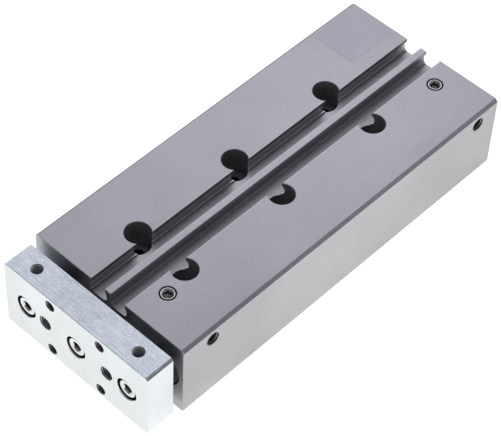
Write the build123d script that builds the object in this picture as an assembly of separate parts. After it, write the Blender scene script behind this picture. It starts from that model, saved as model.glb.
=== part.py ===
from build123d import *
import os

# Guided pneumatic cylinder, drawn retracted. One extruded housing carries a cylinder bore between
# two guide bores, and a yoke plate joins the piston rod to both guide rods.
# X runs along the stroke towards the yoke plate, Y across the housing towards the side with the
# open air ports, and Z up. The origin is the middle of the mounting holes on the mounting face.

# Housing, in millimetres
housing_length = 136.0
end_length = 36.0  # taken up by covers, piston and ports; the rest is the stroke
housing_width = 60.0
housing_height = 28.0
top_chamfer = 1.0
bottom_chamfer = 0.5
end_chamfer = 0.3  # around the two end faces

# Bores
cylinder_bore = 12.0
guide_inset = 9.5  # guide axes inside the housing's sides
guide_channel = 11.0
guide_seat = 15.0
mouth_chamfer = 0.2

# Sensor slots along the top
slot_opening = 5.55
slot_rib = 2.4
slot_lip = 1.2
slot_depth = 5.2
slot_belly = 0.7  # how far each side wall bows out under its lip

# Mounting holes, three pairs beside the slots
mount_pairs = 3
mount_pitch = 40.0
mount_inset = 21.0
mount_spacing = 19.0
mount_hole = 4.3
mount_counterbore = 8.25
counterbore_floor = 4.0  # height of the counterbore's floor over the bore axes
mount_mouth = 0.3

# Air ports
front_port_inset = 11.5
rear_port_inset = 9.0
port_thread = 5.0
port_core = 4.2
port_mouth = 0.4
side_port_drop = 4.5  # side port centre below the top face
side_port_depth = 6.0
top_port_inset = 17.8  # from the side with the open ports
top_port_depth = 6.2
cross_passage = 2.5
inclined_passage = 2.0

# Plugs in the top ports
plug_length = 3.0
plug_recess = 0.3
plug_rim_chamfer = 0.3
plug_socket = 2.5
plug_socket_depth = 1.8
socket_bevel = 0.5  # depth and width of the bevel at a hexagon socket's mouth

# Covers and retaining rings at the ends of the cylinder bore
cover_diameter = 14.0
rod_cover_depth = 10.0
rod_cover_shoulder = 8.0
rod_cover_gap = 0.3  # around the piston rod
rod_cover_web = 0.8  # between the rod seal and its bush
head_cover_depth = 7.5
head_cover_shoulder = 5.5
ring_inset = 0.8
ring_thickness = 1.0
ring_play = 0.05
ring_groove_depth = 0.4
ring_width = 1.3
ring_gap = 4.4
ring_lug = 1.15
ring_lug_hole = 0.5

# Seals, with their grooves cut to suit
oring_section = 1.1
oring_play = 0.4  # groove wider than the ring by this
rod_cover_oring_depth = 5.9
head_cover_oring_depth = 3.7
rod_seal_width = 2.2
rod_seal_outer = 10.0
rod_seal_lip = 0.7
rod_bush_outer = 8.0
rod_bush_length = 4.6

# Rods
piston_rod_diameter = 6.0
guide_rod_diameter = 8.0
guide_rod_inset = 1.5  # guide rod's rear end inside the housing's rear face
rod_end_chamfer = 0.4

# Guide bushes and wipers in the front of each guide bore
wiper_inset = 0.5
wiper_length = 3.0
wiper_lip = 0.8
wiper_wall = 1.0
wiper_gap = 0.3  # around the guide rod
wiper_chamfer = 0.4
guide_bush_length = 10.0
guide_spacer_length = 8.0
guide_spacer_wall = 1.5
bush_chamfer = 0.3

# Piston
piston_clearance = 0.2
bumper_thickness = 2.5
bumper_diameter = 9.4
end_play = 0.2
piston_boss_diameter = 6.4
piston_boss_height = 1.2
rod_spigot = 4.0
rivet_flare = 0.8
wear_ring_width = 2.5
wear_ring_thickness = 0.9
magnet_width = 3.2
magnet_thickness = 1.5
piston_seal_width = 2.2
piston_seal_thickness = 1.6
seal_lip_depth = 0.8

# Yoke plate
plate_gap = 3.0
plate_thickness = 10.0
plate_inset = 1.0  # plate's sides inside the housing's outline
plate_chamfer = 1.0
plate_edge_break = 0.25
rod_seat_depth = 1.5
screw_counterbore = 7.6
plate_square = 20.0  # spacing of the four small threaded holes
plate_pair = 25.0  # spacing of the two larger threaded holes
plate_core_small = 3.3
plate_core_large = 4.2
top_hole_depth = 8.0
thread_mouth = 0.4

# Socket head screws that hold the rods to the plate
screw_thread = 4.0
screw_head = 7.0
screw_head_height = 4.0
screw_head_recess = 0.5
screw_hole = 4.5
screw_engagement = 8.0
screw_tip_room = 2.0
screw_socket = 3.0
screw_socket_depth = 2.0
screw_head_chamfer = 0.4

# Clearances, all per side
running_clearance = 0.05
seat_clearance = 0.03
cut_overrun = 1.0

# Values that follow from the sizes above
stroke = housing_length - end_length
axis_height = housing_height / 2
guide_spacing = housing_width - 2 * guide_inset
plate_width = housing_width - 2 * plate_inset
plate_height = housing_height - 2 * plate_inset
top_port_y = housing_width / 2 - top_port_inset
front_x = mount_inset + mount_pitch * (mount_pairs - 1) / 2
rear_x = front_x - housing_length
guide_sides = {"port_side": guide_spacing / 2, "far_side": -guide_spacing / 2}
ring_depth = ring_inset + ring_thickness + 2 * ring_play
bush_start = wiper_inset + wiper_length
guide_seat_depth = bush_start + 2 * guide_bush_length + guide_spacer_length
piston_diameter = cylinder_bore - 2 * piston_clearance
piston_rear_x = rear_x + head_cover_depth + end_play + bumper_thickness
chamber_length = housing_length - rod_cover_depth - head_cover_depth
piston_length = chamber_length - stroke - 2 * (end_play + bumper_thickness)
piston_front_x = piston_rear_x + piston_length
plate_back_x = front_x + plate_gap
plate_front_x = plate_back_x + plate_thickness
rod_front_x = plate_back_x + rod_seat_depth
screw_seat_x = plate_front_x - screw_head_height - screw_head_recess
rod_tap_depth = screw_engagement + screw_tip_room
port_places = {"front": front_x - front_port_inset, "rear": rear_x + rear_port_inset}
ring_widths = (wear_ring_width, magnet_width, piston_seal_width)
piston_land = (piston_length - sum(ring_widths)) / (len(ring_widths) + 1)
wear_ring_depth = piston_land
magnet_depth = wear_ring_depth + wear_ring_width + piston_land
piston_seal_depth = magnet_depth + magnet_width + piston_land

FROM_BASE = (Align.CENTER, Align.CENTER, Align.MIN)
FORWARD = 1
BACKWARD = -1


def turned(outline, face_x, direction, y=0.0):
    """Solid turned about the bore axis at y. The outline lists (distance from face_x, radius)."""
    corners = [(face_x + direction * distance, radius) for distance, radius in outline]
    profile = Plane.XZ * make_face(Polyline(*corners, close=True))
    return Pos(0, y, axis_height) * revolve(profile, Axis.X)


def bar(diameter, start_x, end_x, y=0.0):
    """Round bar on the bore axis at y."""
    place = Plane(origin=(start_x, y, axis_height), z_dir=(1, 0, 0))
    return place * Cylinder(diameter / 2, end_x - start_x, align=FROM_BASE)


def drilled(origin, direction, diameter, depth, mouth=0.0):
    """Round hole as a cutting solid: it enters at origin, and mouth is the bevel at its rim."""
    tool = Cylinder(diameter / 2, depth, align=FROM_BASE)
    if mouth > 0:
        tool += Cone(diameter / 2 + mouth, diameter / 2, mouth, align=FROM_BASE)
    return Plane(origin=origin, z_dir=direction) * tool


def hex_socket(origin, direction, width, depth):
    """Hexagon socket with a bevelled mouth, as a cutting solid."""
    flats = RegularPolygon(width / 2, 6, major_radius=False)
    tool = extrude(flats, depth)
    tool += Cone(width / 2 + socket_bevel, width / 2, socket_bevel, align=FROM_BASE)
    return Plane(origin=origin, z_dir=direction) * tool


def ring_around(inner, outer, depth, length, face_x, direction, y=0.0):
    """Plain ring between two radii, lying depth behind a face."""
    outline = [(depth, inner), (depth, outer), (depth + length, outer), (depth + length, inner)]
    return turned(outline, face_x, direction, y)


# Housing

def slot_section(centre_y):
    """Sensor slot: a straight mouth between two lips, then side walls that bow out to the floor."""
    half = slot_opening / 2
    top = housing_height + cut_overrun
    lip = housing_height - slot_lip
    floor = housing_height - slot_depth
    belly = (lip + floor) / 2
    edges = [
        Line((half, floor), (-half, floor)),
        ThreePointArc((-half, floor), (-half - slot_belly, belly), (-half, lip)),
        Polyline((-half, lip), (-half, top), (half, top), (half, lip)),
        ThreePointArc((half, lip), (half + slot_belly, belly), (half, floor)),
    ]
    return Pos(centre_y, 0) * make_face(Curve() + edges)


def housing_blank():
    """Extruded bar bevelled all round, with two slots, the cylinder bore and two guide channels."""
    section = Rectangle(housing_width, housing_height, align=(Align.CENTER, Align.MIN))
    corners = section.vertices().group_by(Axis.Y)
    section = chamfer(corners[-1], top_chamfer)
    section = chamfer(section.vertices().group_by(Axis.Y)[0], bottom_chamfer)
    rear_plane = Plane.YZ.offset(rear_x)
    blank = extrude(rear_plane * section, housing_length)
    ends = blank.faces().sort_by(Axis.X)
    blank = chamfer(ends[0].edges() + ends[-1].edges(), end_chamfer)
    hollow = Pos(0, axis_height) * Circle(cylinder_bore / 2)
    for y in guide_sides.values():
        hollow += Pos(y, axis_height) * Circle(guide_channel / 2)
    slot_y = (slot_rib + slot_opening) / 2
    for side in (1, -1):
        hollow += slot_section(side * slot_y)
    return blank - extrude(rear_plane * hollow, housing_length)


def mount_hole_tools():
    """Counterbored holes from the top face down to the mounting face."""
    floor_z = axis_height + counterbore_floor
    for pair in range(mount_pairs):
        x = front_x - mount_inset - pair * mount_pitch
        for side in (1, -1):
            y = side * mount_spacing / 2
            head_room = housing_height - floor_z
            yield drilled((x, y, housing_height), (0, 0, -1), mount_counterbore, head_room)
            yield drilled((x, y, 0), (0, 0, 1), mount_hole, housing_height, mount_mouth)


def cover_seat_tools(face_x, direction, shoulder):
    """Seat for a bore cover and the groove for its retaining ring."""
    cover_radius = cover_diameter / 2
    yield turned(
        [(0, 0), (0, cover_radius + mouth_chamfer), (mouth_chamfer, cover_radius),
         (shoulder, cover_radius), (shoulder, 0)],
        face_x, direction)
    groove_radius = cover_radius + ring_groove_depth
    yield ring_around(0, groove_radius, ring_inset, ring_thickness + 2 * ring_play, face_x, direction)


def guide_seat_tools(y):
    """Wide front seat for the wiper, bushes and spacer, and the bevelled rear mouth."""
    seat_radius = guide_seat / 2
    yield turned(
        [(0, 0), (0, seat_radius + mouth_chamfer), (mouth_chamfer, seat_radius),
         (guide_seat_depth, seat_radius), (guide_seat_depth, 0)],
        front_x, BACKWARD, y)
    channel_radius = guide_channel / 2
    yield turned(
        [(0, 0), (0, channel_radius + mouth_chamfer), (mouth_chamfer, channel_radius),
         (mouth_chamfer, 0)],
        rear_x, FORWARD, y)


def port_tools(x):
    """Side port, top port, the passage that joins them and the inclined drilling to the bore."""
    top = housing_height
    side_z = top - side_port_drop
    side_y = housing_width / 2
    plug_floor = plug_recess + plug_length
    yield drilled((x, side_y, side_z), (0, -1, 0), port_core, side_port_depth, port_mouth)
    yield drilled((x, side_y, side_z), (0, -1, 0), cross_passage, side_y - top_port_y)
    plug_hole = port_thread + 2 * seat_clearance
    yield drilled((x, top_port_y, top), (0, 0, -1), plug_hole, plug_floor, mouth_chamfer)
    yield drilled((x, top_port_y, top), (0, 0, -1), port_core, top_port_depth)
    start = Vector(x, top_port_y, top - top_port_depth + inclined_passage / 2)
    to_bore = Vector(x, 0, axis_height) - start
    yield drilled(start, to_bore, inclined_passage, to_bore.length)


def housing():
    body = housing_blank()
    tools = list(mount_hole_tools())
    tools += cover_seat_tools(front_x, BACKWARD, rod_cover_shoulder)
    tools += cover_seat_tools(rear_x, FORWARD, head_cover_shoulder)
    for y in guide_sides.values():
        tools += guide_seat_tools(y)
    for x in port_places.values():
        tools += port_tools(x)
    for tool in tools:
        body -= tool
    return body


def port_plug(x):
    """Headless plug with a hexagon socket, just below the top face."""
    radius = port_thread / 2
    top_z = housing_height - plug_recess
    body = Pos(x, top_port_y, top_z - plug_length) * Cylinder(radius, plug_length, align=FROM_BASE)
    body = chamfer(body.edges().filter_by(GeomType.CIRCLE), plug_rim_chamfer)
    return body - hex_socket((x, top_port_y, top_z), (0, 0, -1), plug_socket, plug_socket_depth)


# Covers, seals and retaining rings of the cylinder bore

def oring_groove(depth):
    """Corners of a seal groove in a cover's outline, centred this far behind the face."""
    outer = cover_diameter / 2 - seat_clearance
    floor = cover_diameter / 2 - oring_section - 2 * seat_clearance
    half = (oring_section + oring_play) / 2
    return [(depth - half, outer), (depth - half, floor), (depth + half, floor), (depth + half, outer)]


def cover_oring(face_x, direction, depth):
    radius = cover_diameter / 2 - seat_clearance - oring_section / 2
    place = Plane(origin=(face_x + direction * depth, 0, axis_height), z_dir=(1, 0, 0))
    return place * Torus(radius, oring_section / 2)


def rod_cover():
    """Front cover: guides and seals the piston rod and closes the cylinder bore."""
    outer = cover_diameter / 2 - seat_clearance
    spigot = cylinder_bore / 2 - seat_clearance
    pocket = rod_bush_outer / 2 + seat_clearance
    rod_hole = piston_rod_diameter / 2 + rod_cover_gap
    seal_radius = rod_seal_outer / 2 + seat_clearance
    bush_front = rod_cover_depth - rod_bush_length
    seal_rear = bush_front - rod_cover_web
    seal_front = seal_rear - rod_seal_width - 2 * seat_clearance
    outline = [(ring_depth, rod_hole), (ring_depth, outer)]
    outline += oring_groove(rod_cover_oring_depth)
    outline += [
        (rod_cover_shoulder, outer), (rod_cover_shoulder, spigot), (rod_cover_depth, spigot),
        (rod_cover_depth, pocket), (bush_front, pocket), (bush_front, rod_hole),
        (seal_rear, rod_hole), (seal_rear, seal_radius), (seal_front, seal_radius),
        (seal_front, rod_hole),
    ]
    return turned(outline, front_x, BACKWARD)


def rod_seal():
    """Lip seal on the piston rod, its open side towards the pressure."""
    inner = piston_rod_diameter / 2 + running_clearance
    outer = rod_seal_outer / 2
    rear = rod_cover_depth - rod_bush_length - rod_cover_web - seat_clearance
    front = rear - rod_seal_width
    middle = (inner + outer) / 2
    outline = [
        (front, inner), (front, outer), (rear, outer), (rear, outer - rod_seal_lip),
        (rear - seal_lip_depth, middle), (rear, inner + rod_seal_lip), (rear, inner),
    ]
    return turned(outline, front_x, BACKWARD)


def rod_bush():
    inner = piston_rod_diameter / 2 + running_clearance
    front = rod_cover_depth - rod_bush_length
    return ring_around(inner, rod_bush_outer / 2, front, rod_bush_length, front_x, BACKWARD)


def head_cover():
    """Rear cover: a plain plug held by its retaining ring."""
    outer = cover_diameter / 2 - seat_clearance
    spigot = cylinder_bore / 2 - seat_clearance
    outline = [(ring_depth, 0), (ring_depth, outer)]
    outline += oring_groove(head_cover_oring_depth)
    outline += [
        (head_cover_shoulder, outer), (head_cover_shoulder, spigot),
        (head_cover_depth, spigot), (head_cover_depth, 0),
    ]
    return turned(outline, rear_x, FORWARD)


def retaining_ring(face_x, direction):
    """Internal retaining ring with two eyes for the pliers, open at the bottom."""
    outer = cover_diameter / 2 + ring_groove_depth - seat_clearance
    inner = outer - ring_width
    ring = Circle(outer) - Circle(inner)
    ring -= Pos(0, -outer) * Rectangle(ring_gap, 2 * ring_width + 2 * ring_lug)
    lug_x = ring_gap / 2 + ring_lug
    lug_y = -(inner ** 2 - lug_x ** 2) ** 0.5
    for side in (1, -1):
        ring += Pos(side * lug_x, lug_y) * Circle(ring_lug)
        ring -= Pos(side * lug_x, lug_y) * Circle(ring_lug_hole)
    start_x = face_x + direction * (ring_inset + ring_play)
    place = Plane(origin=(start_x, 0, axis_height), x_dir=(0, direction, 0), z_dir=(direction, 0, 0))
    return extrude(place * ring, ring_thickness)


# Guide bushes and wipers

def wiper_holder(y):
    """Cup that holds the felt at the mouth of a guide bore."""
    outer = guide_seat / 2 - seat_clearance
    rod_hole = guide_rod_diameter / 2 + wiper_gap
    rear = wiper_inset + wiper_length
    outline = [
        (wiper_inset, rod_hole), (wiper_inset, outer - wiper_chamfer),
        (wiper_inset + wiper_chamfer, outer), (rear, outer), (rear, outer - wiper_wall),
        (wiper_inset + wiper_lip, outer - wiper_wall), (wiper_inset + wiper_lip, rod_hole),
    ]
    return turned(outline, front_x, BACKWARD, y)


def wiper_felt(y):
    inner = guide_rod_diameter / 2 + running_clearance
    outer = guide_seat / 2 - wiper_wall - 2 * seat_clearance
    front = wiper_inset + wiper_lip
    return ring_around(inner, outer, front, wiper_length - wiper_lip, front_x, BACKWARD, y)


def guide_bush(y, front):
    """Plain bearing bush with bevelled ends."""
    inner = guide_rod_diameter / 2 + running_clearance
    outer = guide_seat / 2 - seat_clearance
    rear = front + guide_bush_length
    outline = [
        (front, inner), (front, outer - bush_chamfer), (front + bush_chamfer, outer),
        (rear - bush_chamfer, outer), (rear, outer - bush_chamfer), (rear, inner),
    ]
    return turned(outline, front_x, BACKWARD, y)


def guide_spacer(y):
    outer = guide_seat / 2 - seat_clearance
    front = bush_start + guide_bush_length
    inner = outer - guide_spacer_wall
    return ring_around(inner, outer, front, guide_spacer_length, front_x, BACKWARD, y)


# Sliding pieces

def piston():
    """Piston with grooves for the wear ring, magnet and seal, and a boss for the rear bumper."""
    radius = piston_diameter / 2
    bore = rod_spigot / 2 + seat_clearance
    boss = piston_boss_diameter / 2
    rear = piston_length + piston_boss_height
    grooves = (
        (wear_ring_depth, wear_ring_width, wear_ring_thickness),
        (magnet_depth, magnet_width, magnet_thickness),
        (piston_seal_depth, piston_seal_width, piston_seal_thickness),
    )
    outline = [(0, bore), (0, radius)]
    for start, width, thickness in grooves:
        floor = cylinder_bore / 2 - running_clearance - thickness - seat_clearance
        end = start + width + 2 * seat_clearance
        outline += [(start, radius), (start, floor), (end, floor), (end, radius)]
    outline += [
        (piston_length, radius), (piston_length, boss), (rear, boss), (rear, bore + rivet_flare),
        (rear - rivet_flare, bore),
    ]
    return turned(outline, piston_front_x, BACKWARD)


def piston_ring(start, width, thickness, lip=0.0):
    """Ring in a piston groove. A lip depth cuts a notch in its rear side, as in a lip seal."""
    outer = cylinder_bore / 2 - running_clearance
    inner = outer - thickness
    front = start + seat_clearance
    rear = front + width
    outline = [(front, inner), (front, outer), (rear, outer)]
    if lip > 0:
        outline += [
            (rear, outer - thickness / 4), (rear - lip, (inner + outer) / 2),
            (rear, inner + thickness / 4),
        ]
    outline += [(rear, inner)]
    return turned(outline, piston_front_x, BACKWARD)


def front_bumper():
    inner = piston_rod_diameter / 2 + seat_clearance
    return ring_around(inner, bumper_diameter / 2, 0, bumper_thickness, piston_front_x, FORWARD)


def rear_bumper():
    inner = piston_boss_diameter / 2 + seat_clearance
    return ring_around(inner, bumper_diameter / 2, 0, bumper_thickness, piston_rear_x, BACKWARD)


def rod_front_outline(radius):
    """Front end of a rod: bevelled rim and the threaded hole for its screw."""
    tap = screw_thread / 2 + seat_clearance
    return [
        (rod_tap_depth, 0), (rod_tap_depth, tap), (0, tap), (0, radius - rod_end_chamfer),
        (rod_end_chamfer, radius),
    ]


def piston_rod():
    """Rod with a spigot through the piston, flared over at its rear end."""
    radius = piston_rod_diameter / 2
    spigot = rod_spigot / 2
    shoulder = rod_front_x - piston_front_x
    rear = shoulder + piston_length + piston_boss_height
    outline = rod_front_outline(radius)
    outline += [
        (shoulder, radius), (shoulder, spigot), (rear - rivet_flare, spigot),
        (rear, spigot + rivet_flare), (rear, 0),
    ]
    return turned(outline, rod_front_x, BACKWARD)


def guide_rod(y):
    radius = guide_rod_diameter / 2
    length = rod_front_x - rear_x - guide_rod_inset
    outline = rod_front_outline(radius)
    outline += [(length - rod_end_chamfer, radius), (length, radius - rod_end_chamfer), (length, 0)]
    return turned(outline, rod_front_x, BACKWARD, y)


def rod_screw(y=0.0):
    """Socket head screw, sunk in the plate's front face."""
    head = screw_head / 2
    shank = screw_thread / 2
    length = screw_seat_x - rod_front_x + screw_engagement
    outline = [
        (-screw_head_height, 0), (-screw_head_height, head - screw_head_chamfer),
        (screw_head_chamfer - screw_head_height, head), (0, head), (0, shank), (length, shank),
        (length, 0),
    ]
    body = turned(outline, screw_seat_x, BACKWARD, y)
    top = (screw_seat_x + screw_head_height, y, axis_height)
    return body - hex_socket(top, (-1, 0, 0), screw_socket, screw_socket_depth)


def plate_rod_tools(rod_diameter, y):
    """Rod seat in the back, screw hole, and counterbore in the front."""
    seat = rod_diameter + 2 * seat_clearance
    yield bar(seat, plate_back_x, rod_front_x, y)
    yield bar(screw_hole, plate_back_x, plate_front_x, y)
    front = (plate_front_x, y, axis_height)
    depth = screw_head_height + screw_head_recess
    yield drilled(front, (-1, 0, 0), screw_counterbore, depth, mouth_chamfer)


def plate_thread_tools():
    """Threaded holes for the load: a square and a pair in the front face, a pair in the top."""
    half_square = plate_square / 2
    for y in (half_square, -half_square):
        for z in (axis_height + half_square, axis_height - half_square):
            place = (plate_front_x, y, z)
            yield drilled(place, (-1, 0, 0), plate_core_small, plate_thickness, thread_mouth)
    for y in (plate_pair / 2, -plate_pair / 2):
        place = (plate_front_x, y, axis_height)
        yield drilled(place, (-1, 0, 0), plate_core_large, plate_thickness, thread_mouth)
    middle_x = plate_back_x + plate_thickness / 2
    for y in guide_sides.values():
        place = (middle_x, y, axis_height + plate_height / 2)
        yield drilled(place, (0, 0, -1), plate_core_small, top_hole_depth, thread_mouth / 2)


def yoke_plate():
    """Steel plate across the three rods, with its long edges bevelled."""
    section = Pos(0, axis_height) * Rectangle(plate_width, plate_height)
    section = chamfer(section.vertices(), plate_chamfer)
    plate = extrude(Plane.YZ.offset(plate_back_x) * section, plate_thickness)
    plate = chamfer(plate.faces().sort_by(Axis.X)[-1].edges(), plate_edge_break)
    tools = list(plate_rod_tools(piston_rod_diameter, 0))
    for y in guide_sides.values():
        tools += plate_rod_tools(guide_rod_diameter, y)
    tools += plate_thread_tools()
    for tool in tools:
        plate -= tool
    return plate


# All pieces, by name

def pieces():
    yield "housing", housing()
    for end, x in port_places.items():
        yield f"{end}_port_plug", port_plug(x)
    yield "rod_cover", rod_cover()
    yield "rod_cover_oring", cover_oring(front_x, BACKWARD, rod_cover_oring_depth)
    yield "rod_seal", rod_seal()
    yield "rod_bush", rod_bush()
    yield "front_retaining_ring", retaining_ring(front_x, BACKWARD)
    yield "head_cover", head_cover()
    yield "head_cover_oring", cover_oring(rear_x, FORWARD, head_cover_oring_depth)
    yield "rear_retaining_ring", retaining_ring(rear_x, FORWARD)
    second_bush = bush_start + guide_bush_length + guide_spacer_length
    for side, y in guide_sides.items():
        yield f"wiper_holder_{side}", wiper_holder(y)
        yield f"wiper_felt_{side}", wiper_felt(y)
        yield f"front_guide_bush_{side}", guide_bush(y, bush_start)
        yield f"guide_spacer_{side}", guide_spacer(y)
        yield f"rear_guide_bush_{side}", guide_bush(y, second_bush)
        yield f"guide_rod_{side}", guide_rod(y)
        yield f"guide_rod_screw_{side}", rod_screw(y)
    yield "yoke_plate", yoke_plate()
    yield "piston_rod", piston_rod()
    yield "piston_rod_screw", rod_screw()
    yield "piston", piston()
    yield "wear_ring", piston_ring(wear_ring_depth, wear_ring_width, wear_ring_thickness)
    yield "magnet_ring", piston_ring(magnet_depth, magnet_width, magnet_thickness)
    yield "piston_seal", piston_ring(
        piston_seal_depth, piston_seal_width, piston_seal_thickness, seal_lip_depth)
    yield "front_bumper", front_bumper()
    yield "rear_bumper", rear_bumper()


os.makedirs("parts", exist_ok=True)
for name, piece in pieces():
    export_step(piece, f"parts/{name}.step")
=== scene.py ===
import math

import bmesh
import bpy
from mathutils import Matrix, Vector


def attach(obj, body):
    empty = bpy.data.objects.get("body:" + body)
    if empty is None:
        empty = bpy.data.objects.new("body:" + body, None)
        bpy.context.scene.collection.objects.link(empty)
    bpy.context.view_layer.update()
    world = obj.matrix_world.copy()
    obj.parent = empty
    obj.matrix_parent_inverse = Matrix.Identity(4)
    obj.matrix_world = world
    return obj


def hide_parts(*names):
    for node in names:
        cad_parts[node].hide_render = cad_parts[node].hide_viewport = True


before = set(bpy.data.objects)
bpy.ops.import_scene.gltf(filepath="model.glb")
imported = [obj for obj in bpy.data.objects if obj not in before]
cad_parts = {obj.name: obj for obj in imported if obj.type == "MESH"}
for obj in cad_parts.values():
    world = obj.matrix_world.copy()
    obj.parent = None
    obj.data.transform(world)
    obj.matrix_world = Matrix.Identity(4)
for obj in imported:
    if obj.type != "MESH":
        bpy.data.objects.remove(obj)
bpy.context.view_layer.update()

# Sizes are in millimetres and become metres as a mesh is made
MM = 0.001

# Housing, with the origin in the middle of the mounting holes on the mounting face
REAR_X, FRONT_X = -75.0, 61.0
HALF_WIDTH, HEIGHT = 30.0, 28.0
TOP_CHAMFER, BOTTOM_CHAMFER, END_CHAMFER, REAR_BREAK = 1.0, 0.5, 0.15, 0.12
AXIS_Z = 14.0
GUIDE_Y = 20.5
SLOT_INNER, SLOT_OUTER = 1.2, 6.75
SLOT_LIP, SLOT_DEPTH, SLOT_BELLY, SLOT_LEDGE, LEDGE_RISE = 1.2, 5.2, 0.7, 0.15, 0.6
MOUNT_X, MOUNT_Y = (40.0, 0.0, -40.0), 9.5
PORT_X, PORT_Y, PORT_Z = (49.5, -66.0), 12.2, 23.5
BORE_RADIUS, COVER_SEAT, RING_GROOVE = 6.0, 7.0, 7.4
GUIDE_CHANNEL, GUIDE_SEAT = 5.5, 7.5
MOUNT_RADIUS, COUNTERBORE, COUNTERBORE_FLOOR = 2.15, 4.125, 18.0
BEVEL = 0.2
# How far a cutting solid reaches out of the piece that it cuts
OUT = 2.0

# Threads: core radius, outer radius and pitch. The plate's front holes have cores that are worn wider
M4, M5 = (1.65, 2.0, 0.7), (2.1, 2.5, 0.8)
WORN_M4, WORN_M5 = (1.78, 2.0, 0.7), (2.3, 2.5, 0.8)
# A thread's flank: its steepness, and the share of it that is cut off at the root
FLANK_SLOPE, FLANK_ROOT = 1.4, 0.2

# Yoke plate
PLATE_BACK, PLATE_FRONT = 64.0, 74.0
PLATE_HALF_WIDTH, PLATE_HALF_HEIGHT, PLATE_CHAMFER, PLATE_EDGE = 29.0, 13.0, 0.8, 0.1
# Each top chamfer has two facets. These are the lower one's run in y and its rise in z
CHAMFER_LOW = (0.2, 0.28)
# Half the spacing of the four and of the two threaded holes in the front face
SQUARE_HALF, PAIR_HALF = 10, 12.5

# Surface quality
EDGE_ROUND = 0.12
SHARP_ANGLE, BEVEL_ANGLE = math.radians(10), math.radians(20)
TURN = 2 * math.pi
WHITE, BLACK = (1.0, 1.0, 1.0), (0.0, 0.0, 0.0)

# Camera: sensor width in mm, focal length and image width in pixels, azimuth, elevation and roll in
# degrees, and its place in metres
SENSOR, FOCAL_PIXELS, IMAGE_WIDTH = 36.0, 2056.2, 501
CAMERA_ANGLES = (131.4304, 49.6516, 2.9305)
CAMERA_PLACE = (0.30127, 0.26377, 0.4804)


# Mesh tools

def new_object(name, vertices, faces):
    mesh = bpy.data.meshes.new(name)
    mesh.from_pydata([Vector(v) * MM for v in vertices], [], faces)
    mesh.update()
    thing = bpy.data.objects.new(name, mesh)
    bpy.context.scene.collection.objects.link(thing)
    return thing


def fix_normals(thing):
    work = bmesh.new()
    work.from_mesh(thing.data)
    bmesh.ops.recalc_face_normals(work, faces=work.faces)
    work.to_mesh(thing.data)
    work.free()
    return thing


def bake_modifiers(thing):
    """Replaces the object's mesh by what its modifiers make of it."""
    graph = bpy.context.evaluated_depsgraph_get()
    mesh = bpy.data.meshes.new_from_object(thing.evaluated_get(graph))
    thing.modifiers.clear()
    thing.data = mesh


def cut(thing, tool):
    """Takes the tool's volume out of the object."""
    modifier = thing.modifiers.new("cut", "BOOLEAN")
    modifier.operation = "DIFFERENCE"
    modifier.solver = "MANIFOLD"
    modifier.object = tool
    bake_modifiers(thing)
    bpy.data.objects.remove(tool)


def shade(thing):
    """Smooth faces with sharp edges at every corner, and normals that keep flat faces flat."""
    work = bmesh.new()
    work.from_mesh(thing.data)
    for face in work.faces:
        face.smooth = True
    for edge in work.edges:
        edge.smooth = len(edge.link_faces) == 2 and edge.calc_face_angle() < SHARP_ANGLE
    work.to_mesh(thing.data)
    work.free()
    weighted = thing.modifiers.new("normals", "WEIGHTED_NORMAL")
    weighted.keep_sharp = True
    weighted.weight = 100
    bake_modifiers(thing)


def finish(thing, body, material, nodes=()):
    """Gives the piece its material and body, in place of the nodes if any are named."""
    thing.data.materials.clear()
    thing.data.materials.append(material)
    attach(thing, body)
    if nodes:
        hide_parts(*nodes)


def axes_for(direction):
    """Three right-handed axes whose third lies along the direction."""
    w = Vector(direction).normalized()
    u = w.orthogonal().normalized()
    return u, w.cross(u), w


def surface(name, origin, direction, rows, columns):
    """Closed round solid through (distance, radius) rows. A radius can be a function of the angle."""
    u, v, w = axes_for(direction)
    base = Vector(origin)
    vertices, faces, rings = [], [], []
    for distance, radius in rows:
        if radius == 0:
            rings.append([len(vertices)])
            vertices.append(base + w * distance)
            continue
        ring = []
        for k in range(columns):
            angle = TURN * k / columns
            r = radius(angle) if callable(radius) else radius
            ring.append(len(vertices))
            vertices.append(
                base + w * distance + u * (r * math.cos(angle)) + v * (r * math.sin(angle)))
        rings.append(ring)
    for low, high in zip(rings, rings[1:]):
        for k in range(columns):
            n = (k + 1) % columns
            if len(low) == 1:
                faces.append((low[0], high[n], high[k]))
            elif len(high) == 1:
                faces.append((low[k], low[n], high[0]))
            else:
                faces.append((low[k], low[n], high[n], high[k]))
    return fix_normals(new_object(name, vertices, faces))


def thread_rows(start, end, minor, major, pitch, low=None):
    """Rows of a screw thread between two distances, with its depth faded out near low and the end."""
    steps = 8
    rows = []
    count = int(round((end - start) / pitch * steps))
    low = start if low is None else low
    for i in range(count + 1):
        distance = start + (end - start) * i / count

        def radius(angle, distance=distance):
            wave = (distance / pitch - angle / TURN) % 1.0
            height = min(1.0, max(0.0, FLANK_SLOPE * (1 - abs(2 * wave - 1)) - FLANK_ROOT))
            room = max(0.0, min(distance - low, end - distance))
            return minor + (major - minor) * height * min(1.0, room / (pitch / 2))
        rows.append((distance, radius))
    return rows


def threaded_tool(origin, inward, thread, depth, mouth, core_depth=0.0):
    """Tapped hole as a cutting solid, bevelled at its mouth, with the core drilled on to core_depth."""
    minor, major, pitch = thread
    tiny = 0.001
    rows = [(-1.0, 0), (-1.0, minor + mouth + tiny), (0.0, minor + mouth)]
    rows += thread_rows(mouth, depth, minor, major, pitch, low=mouth - pitch)
    if core_depth > depth:
        rows += [(depth + 20 * tiny, minor), (core_depth, minor)]
    rows += [(max(depth, core_depth) + tiny, 0)]
    return surface("tool", origin, inward, rows, columns=40)


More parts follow.
